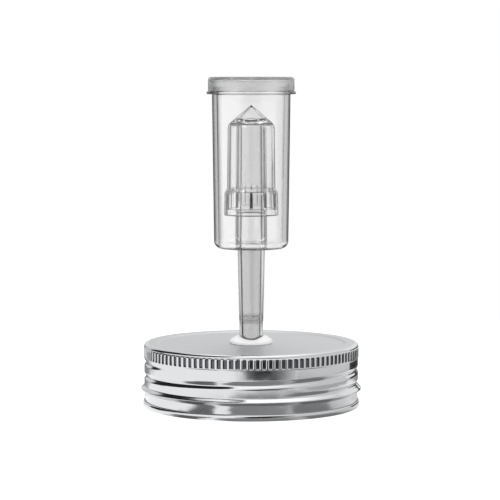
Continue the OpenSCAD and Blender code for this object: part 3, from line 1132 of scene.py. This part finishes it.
@dataclass
class Float:
    """The clear bell with its pointed top, flared skirt and spacer fins."""

    rise: float = 7.6
    slope: float = 0.82
    tip: float = 0.12
    crown: float = 3.5
    bell_top: float = 9.5
    bell_foot: float = 9.8
    wall: float = 0.9
    skirt_top: float = 10.8
    skirt_foot: float = 11.05
    skirt_height: float = 9.2
    flare: float = 1.7
    seat_round: float = 1.6
    hollow: float = 5.6
    hollow_wall: float = 1.3
    fin_count: int = 12
    fin_half_mm: float = 0.25
    fin_foot: float = 2.5
    fin_rises: tuple[float, ...] = (-0.04, 0.04, 2.4, 4.8)
    fin_flank: float = 0.012
    fin_margin: float = 0.25
    gap_columns: int = 14
    skirt_taper: float = 0.24
    inner_drop: float = 0.4
    # Painted shade: the ribs as dark lines, dark lines at the skirt's foot and edges, and edges that turn near black
    # edge-on.
    finish: ClearPlastic = field(default_factory=lambda: ClearPlastic(
        "clear_float_polystyrene", flow=0.0, rib_count=12.0, rib_half=0.065, rib_heights=(81.3, 87.6), rib_from=10.3,
        zones=(Zone(77.8, 78.3, 10.0, 12.0, "#2c2c2c"), Zone(80.55, 80.8, 10.3, 12.0, "#808080"),
               Zone(87.55, 87.8, 10.3, 12.0, "#505050")),
        painted_edge_shades=((0.0, "#ffffff"), (0.62, "#ffffff"), (0.72, "#989898"), (0.82, "#404040"), (0.93, "#101010"))))

    def columns(self) -> np.ndarray:
        """Space the columns so that they meet both sides of every fin, and evenly between.

        Returns:
            Their angles in radians.
        """
        half = math.degrees(self.fin_half_mm / self.skirt_top)
        pitch = 360 / self.fin_count
        edges = [-half - self.fin_margin, -half, half, half + self.fin_margin]
        shares = np.concatenate([edges, np.linspace(half, pitch - half, self.gap_columns)[1:-1]])
        return np.radians((np.arange(self.fin_count)[:, None] * pitch + np.sort(shares)).ravel())

    def build(self) -> bpy.types.Object:
        """Turn the bell, draw the fins out of its skirt, and dress it.

        Returns:
            The finished piece.
        """
        foot, apex = (corner.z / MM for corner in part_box("float"))
        seat = apex - self.rise
        hollow_apex = apex - self.hollow_wall
        skirt = foot + self.skirt_height
        flare = skirt + self.flare
        brow = self.bell_top - self.wall
        corner_z = apex - self.slope * self.bell_top
        fin_low = foot + self.fin_foot
        fin_rows = [fin_low + rise for rise in self.fin_rises]
        lip = self.skirt_foot - self.wall
        inner_skirt = [(lip - self.skirt_taper * (z - foot) / self.skirt_height, z) for z in fin_rows]
        outline = rounded([
            (0, apex), (self.tip, apex - self.slope * self.tip), (self.bell_top, corner_z, self.crown),
            (self.bell_foot, flare, 0.4), (self.skirt_top, skirt, 0.5),
            (self.skirt_foot, foot, 0.2), (lip, foot, 0.2), *inner_skirt,
            (self.skirt_top - self.wall, skirt - self.inner_drop, 0.3),
            (self.bell_foot - self.wall, flare - self.inner_drop, 0.4),
            (brow, seat, self.seat_round), (self.hollow, seat, 0.2),
            (self.hollow, hollow_apex - self.slope * self.hollow, 0.3),
            (self.tip, hollow_apex - self.slope * self.tip), (0, hollow_apex)], closed=False, steps=8)
        piece = turned_mesh("float_moulding", outline, self.columns(), closed=False)
        plastic = self.finish.build()
        radius, height = cylindrical(piece)
        fin_reach = self.bell_foot - self.wall
        inner = (radius < self.skirt_top - self.wall / 2) & (radius > fin_reach)
        inside = inner & (height > fin_low) & (height < flare)
        mark(piece, "pulse_depth", np.where(inside, (radius - fin_reach) * MM, 0.0))
        half = self.fin_half_mm / self.skirt_top / FULL_TURN * self.fin_count
        RadialPulses("spacer_fins", {"Count": float(self.fin_count), "Half width": half, "Flank": self.fin_flank},
                     plastic).apply(piece)
        piece.data.set_sharp_from_angle(angle=CREASE)
        return settle(piece, Body.FLOAT, "float")


@dataclass
class AirlockCap:
    """The milky push-on cap with its ring of vents."""

    outer: float = 17.5
    inner: float = 16.2
    top_wall: float = 1.3
    edge: float = 1.3
    flat: float = 14.0
    vent: float = 0.6
    vent_circle: float = 9.0
    vent_count: int = 8
    punch: float = 4.0
    columns: int = 192
    finish: MilkyPlastic = field(default_factory=lambda: MilkyPlastic("milky_polyethylene"))

    def build(self) -> bpy.types.Object:
        """Turn the cap, punch its vents, and dress it.

        Returns:
            The finished piece.
        """
        low, high = (corner.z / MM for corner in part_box("airlock_cap"))
        under = high - self.top_wall
        outline = rounded([
            (0, high), (self.flat, high), (self.outer, high, self.edge), (self.outer, low, 0.25),
            (self.inner, low, 0.2), (self.inner, under, 0.6), (self.flat, under), (0, under)], closed=False, steps=8)
        piece = turned_mesh("airlock_cap_moulding", outline, even_angles(self.columns), closed=False)
        milky = self.finish.build()
        VentHoles({
            "Count": float(self.vent_count), "Circle radius": self.vent_circle * MM, "Hole radius": self.vent * MM,
            "Punch length": self.punch * MM, "Height": (high - self.top_wall / 2) * MM}, milky).apply(piece)
        piece.data.set_sharp_from_angle(angle=CREASE)
        dress(piece, milky)
        return settle(piece, Body.CAP, "airlock_cap")


@dataclass(frozen=True)
class Card:
    """A grey card that stands on the floor, between two floor places, and that only reflections show; its grey is a
    painted glow graded along it, with painted shade at its foot.
    """

    name: str
    start: Point
    end: Point
    height: float
    shades: tuple[Point, ...]
    foot: float = 1.0
    full_from: float = 0.008
    gap: float = 0.001


@dataclass(frozen=True)
class Lamp:
    """A soft square lamp, with its place and size in metres and its power in watts."""

    name: str
    place: tuple[float, float, float]
    size: float
    power: float


@dataclass
class Studio:
    """Pale floor, soft light, white ground and the photograph's camera."""

    focal_px: float = 2200.0
    image_px: float = 500.0
    distance: float = 892.0
    eye_height: float = 136.5
    horizon_px: float = 70.0
    floor_size: float = 0.6
    far_shades: tuple[Point, ...] = (
        (-180, 0.3), (-128, 0.35), (-112, 1.25), (112, 1.25), (128, 0.35), (180, 0.3))
    near_spot: Point = (0.015, -0.04)
    near_reach: float = 0.07
    near_shades: tuple[Point, ...] = (
        (-180, 0.4), (-100, 0.6), (-84, 1.2), (-52, 1.3), (-43, 0.15), (-28, 0.2), (-24, 1.3), (-19, 1.2), (-15, 0.3),
        (20, 0.35), (28, 0.6), (34, 0.25), (58, 0.28), (66, 0.7), (92, 1.0), (120, 0.5), (180, 0.4))
    near_wander: float = 26.0
    wander_mm: float = 14.0
    soft_light: float = 0.7
    walls: tuple[Point, ...] = (
        (-180, 0.1), (-157, 0.1), (-151, 0.75), (-131, 0.75), (-125, 0.12), (-109, 0.12), (-104, 1.3), (-40, 1.4),
        (-14, 0.2), (14, 0.15), (45, 0.85), (104, 0.9), (109, 0.12), (125, 0.12), (131, 0.75), (151, 0.7),
        (157, 0.1), (180, 0.1))
    patch_azimuths: tuple[float, float, float, float] = (-140, -132, -34, -24)
    patch_heights: tuple[float, float, float, float] = (-30, -24, 26, 32)
    patch_slope: float = 0.4
    patch_shade: float = 0.02
    dome: tuple[Point, ...] = (
        (-180, 0.86), (-150, 0.8), (-120, 1.2), (-20, 1.3), (60, 0.95), (120, 1.1), (150, 1.1), (180, 0.86))
    walls_end: Point = (0.02, 0.14)
    overhead: float = 1.7
    overhead_from: Point = (45, 70)
    sensor_mm: float = 36.0
    clip_start: float = 0.01
    sideways: float = -0.5
    near_fade: float = 1.2
    floor_colour: str = "#c8c8c8"
    floor_glow: float = 0.7
    lamp_target: tuple[float, float, float] = (0, 0, 0.06)
    lamps: tuple[Lamp, ...] = (
        Lamp("key_lamp", (-0.7, -0.7, 0.9), 0.6, 6.0), Lamp("fill_lamp", (0.9, -0.3, 0.6), 0.6, 2.5))
    cards: tuple[Card, ...] = (
        Card("front_card", (-0.045, -0.168), (0.084, -0.097), 0.04,
             ((0, 0.9), (0.16, 0.6), (0.3, 0.03), (0.62, 0.03), (0.8, 0.3), (1, 0.8))),
        Card("right_card", (0.085, -0.096), (0.107, 0.038), 0.08, ((0, 0.85), (1, 0.85)), foot=0.4),
        Card("back_card", (0.108, 0.042), (0.08, 0.11), 0.03, ((0, 0.04), (1, 0.04))))

    def camera(self) -> None:
        """Place the camera level with the cap, looking slightly down."""
        data = bpy.data.cameras.new("camera")
        data.sensor_width = self.sensor_mm
        data.lens = self.focal_px / self.image_px * data.sensor_width
        data.clip_start = self.clip_start
        camera = in_scene("camera", data)
        pitch = math.atan((self.image_px / 2 - self.horizon_px) / self.focal_px)
        camera.location = (self.sideways * MM, -self.distance * MM, self.eye_height * MM)
        camera.rotation_euler = (math.pi / 2 - pitch, 0.0, 0.0)
        bpy.context.scene.camera = camera

    def floor(self) -> None:
        """Lay a pale floor that keeps the object's shadow, shows white, and is dimmer to metal close by, where its
        reflections are a painted shadow and painted brightness by azimuth.
        """
        half = self.floor_size / 2
        floor = one_face("floor", [(-half, -half, 0), (half, -half, 0), (half, half, 0), (-half, half, 0)])
        material, tree = bare_material("pale_floor")
        sums = Sums(tree)
        place = add(tree, "ShaderNodeTexCoord").outputs["Object"]
        spot = add(tree, "ShaderNodeVectorMath", {0: place, 1: (*self.near_spot, 0.0)}, operation="DISTANCE")
        far = sums.ease(spot.outputs["Value"], self.near_reach, self.near_reach * self.near_fade)
        across, along, _ = add(tree, "ShaderNodeSeparateXYZ", {0: place}).outputs
        azimuth = sums.azimuth(across, along)
        wander = add(tree, "ShaderNodeTexNoise", {"Vector": place, "Scale": 1 / (self.wander_mm * MM), "Detail": 2.0})
        offset = sums.of("MULTIPLY", sums.of("SUBTRACT", wander.outputs[0], 0.5), math.radians(self.near_wander))
        share = sums.of("MULTIPLY_ADD", sums.of("ADD", azimuth, offset), 1 / FULL_TURN, 0.5)
        near, away = (self.around(tree, share, stops) for stops in (self.near_shades, self.far_shades))
        # In reflections the floor shows only this painted shadow near the object and painted brightness around it.
        mirrored = add(tree, "ShaderNodeMix", {0: far, 2: near, 3: away}, data_type="FLOAT").outputs[0]
        seen, reflected = self.rays(tree)
        strength = sums.of("MULTIPLY", seen, self.floor_glow)
        glow = add(tree, "ShaderNodeEmission", {"Color": (1, 1, 1, 1), "Strength": strength})
        matte = add(tree, "ShaderNodeBsdfDiffuse", {"Color": linear(self.floor_colour)})
        both = add(tree, "ShaderNodeAddShader", {0: glow.outputs[0], 1: matte.outputs[0]})
        image = add(tree, "ShaderNodeEmission", {"Color": (1, 1, 1, 1), "Strength": mirrored})
        whole = add(tree, "ShaderNodeMixShader", {0: reflected, 1: both.outputs[0], 2: image.outputs[0]})
        add(tree, "ShaderNodeOutputMaterial", {"Surface": whole.outputs[0]})
        dress(floor, material)

    def rays(self, tree: bpy.types.NodeTree) -> tuple[bpy.types.NodeSocket, bpy.types.NodeSocket]:
        """Tell apart the rays that show the ground and those that show the studio.

        Args:
            tree: The tree that takes the nodes.

        Returns:
            Sockets that are 1 for rays that see the ground straight or through plastic, and for reflected ones.
        """
        path = add(tree, "ShaderNodeLightPath").outputs
        sums = Sums(tree)
        seen = sums.of("MAXIMUM", path["Is Camera Ray"], path["Is Transmission Ray"])
        # A refracted ray counts as glossy too, so reflected ones are told by their count of reflections.
        mirrored = sums.of("GREATER_THAN", path["Glossy Depth"], 0.5)
        return seen, sums.of("MULTIPLY", mirrored, sums.of("SUBTRACT", 1.0, path["Is Diffuse Ray"]))

    def world(self) -> None:
        """Light everything softly, show white wherever the ground is seen, and give gloss a studio to reflect."""
        world = bpy.data.worlds.new("studio")
        world.use_nodes = True
        tree = world.node_tree
        tree.nodes.clear()
        sums = Sums(tree)
        way = add(tree, "ShaderNodeSeparateXYZ", {0: add(tree, "ShaderNodeTexCoord").outputs["Generated"]}).outputs
        azimuth = sums.azimuth(way[0], way[1])
        share = sums.of("MULTIPLY_ADD", azimuth, 1 / FULL_TURN, 0.5)
        walls, dome = (self.around(tree, share, stops) for stops in (self.walls, self.dome))
        above = sums.ease(way[2], *(math.sin(math.radians(angle)) for angle in self.walls_end))
        studio = add(tree, "ShaderNodeMix", {0: above, 2: walls, 3: dome}, data_type="FLOAT").outputs[0]
        high = sums.ease(way[2], *(math.sin(math.radians(angle)) for angle in self.overhead_from))
        studio = add(tree, "ShaderNodeMix", {0: high, 2: studio, 3: self.overhead}, data_type="FLOAT").outputs[0]
        degrees = sums.of("MULTIPLY", azimuth, 360 / FULL_TURN)
        height = sums.of("MULTIPLY", sums.of("ARCSINE", way[2]), 360 / FULL_TURN)
        height = sums.of("SUBTRACT", height, sums.of("MULTIPLY", sums.of("ADD", degrees, 180.0), self.patch_slope))
        patch = sums.of("MULTIPLY", self.between(tree, degrees, self.patch_azimuths),
                        self.between(tree, height, self.patch_heights))
        studio = add(tree, "ShaderNodeMix", {0: patch, 2: studio, 3: self.patch_shade}, data_type="FLOAT").outputs[0]
        seen, reflected = self.rays(tree)
        plain = add(tree, "ShaderNodeMix", {0: seen, 2: self.soft_light, 3: 1.0}, data_type="FLOAT").outputs[0]
        keys = {0: reflected, 2: plain, 3: studio}
        strength = add(tree, "ShaderNodeMix", keys, data_type="FLOAT").outputs[0]
        ground = add(tree, "ShaderNodeBackground", {"Color": (1, 1, 1, 1), "Strength": strength})
        add(tree, "ShaderNodeOutputWorld", {"Surface": ground.outputs[0]})
        bpy.context.scene.world = world

    def between(self, tree: bpy.types.NodeTree, value: bpy.types.NodeSocket,
                marks: tuple[float, float, float, float]) -> bpy.types.NodeSocket:
        """Ease a number from 0 to 1 and back.

        Args:
            tree: The tree that takes the nodes.
            value: Socket of the value.
            marks: It rises from the first value to the second, and falls from the third to the fourth.

        Returns:
            The socket of the number.
        """
        sums = Sums(tree)
        rise = sums.ease(value, marks[0], marks[1])
        return sums.of("MULTIPLY", rise, sums.of("SUBTRACT", 1.0, sums.ease(value, marks[2], marks[3])))

    def around(self, tree: bpy.types.NodeTree, share: bpy.types.NodeSocket,
               stops: Sequence[Point]) -> bpy.types.NodeSocket:
        """Brightness around the axis, with its stops at azimuths from the front, in degrees."""
        return self.ramp(tree, share, [(azimuth / 360 + 0.5, light) for azimuth, light in stops])

    def ramp(self, tree: bpy.types.NodeTree, share: bpy.types.NodeSocket,
             stops: Sequence[Point]) -> bpy.types.NodeSocket:
        """Add a ramp of brightness.

        Args:
            tree: The node tree that takes the nodes.
            share: Socket of the place on the ramp, from 0 to 1.
            stops: Places from 0 to 1, and the brightness there, up to BRIGHTEST.

        Returns:
            The socket of the brightness.
        """
        node = add(tree, "ShaderNodeValToRGB", {0: share})
        set_stops(node.color_ramp, [(place, (*[light / BRIGHTEST] * 3, 1.0)) for place, light in stops])
        return Sums(tree).of("MULTIPLY", node.outputs[0], BRIGHTEST)

    def hang(self, plan: Lamp) -> None:
        """Hang a lamp that points at the object's middle, and that no gloss shows.

        Args:
            plan: The lamp.
        """
        data = bpy.data.lights.new(plan.name, "AREA")
        data.size = plan.size
        data.energy = plan.power
        lamp = in_scene(plan.name, data)
        lamp.visible_glossy = False
        lamp.location = plan.place
        lamp.rotation_euler = (Vector(self.lamp_target) - Vector(plan.place)).to_track_quat("-Z", "Y").to_euler()

    def stand(self, plan: Card) -> None:
        """Stand a card on the floor, graded upwards and towards its end.

        Args:
            plan: The card.
        """
        corners = [(*plan.start, plan.gap), (*plan.end, plan.gap), (*plan.end, plan.height), (*plan.start, plan.height)]
        card = one_face(plan.name, corners)
        material, tree = bare_material(plan.name)
        sums = Sums(tree)
        place = add(tree, "ShaderNodeTexCoord").outputs["Object"]
        up = add(tree, "ShaderNodeSeparateXYZ", {0: place}).outputs[2]
        # Dimmer towards the foot: painted shade where the card meets the floor.
        keys = {"Value": up, "From Max": plan.full_from, "To Min": plan.foot}
        lift = add(tree, "ShaderNodeMapRange", keys).outputs[0]
        flat = add(tree, "ShaderNodeVectorMath", {0: place, 1: (1.0, 1.0, 0.0)}, operation="MULTIPLY").outputs[0]
        gone = add(tree, "ShaderNodeVectorMath", {0: flat, 1: (*plan.start, 0.0)}, operation="DISTANCE")
        along = sums.of("DIVIDE", gone.outputs["Value"], math.dist(plan.start, plan.end))
        strength = sums.of("MULTIPLY", lift, self.ramp(tree, along, plan.shades))
        glow = add(tree, "ShaderNodeEmission", {"Color": (1, 1, 1, 1), "Strength": strength})
        add(tree, "ShaderNodeOutputMaterial", {"Surface": glow.outputs[0]})
        dress(card, material)
        card.visible_camera = False
        card.visible_diffuse = False
        card.visible_transmission = False
        card.visible_shadow = False

    def build(self) -> None:
        """Set up camera, floor, ground, lamps and cards."""
        self.camera()
        self.floor()
        self.world()
        for lamp in self.lamps:
            self.hang(lamp)
        for card in self.cards:
            self.stand(card)
        bpy.context.scene.view_settings.view_transform = "Standard"


def main() -> None:
    """Build every sub-assembly, then the studio."""
    logging.basicConfig(level=logging.INFO, format="%(name)s %(message)s")
    for part in (ScrewLid(), SealingRing(), Grommet(), AirlockBody(), Float(), AirlockCap()):
        part.build()
    Studio().build()


if __name__ == "__main__":
    main()
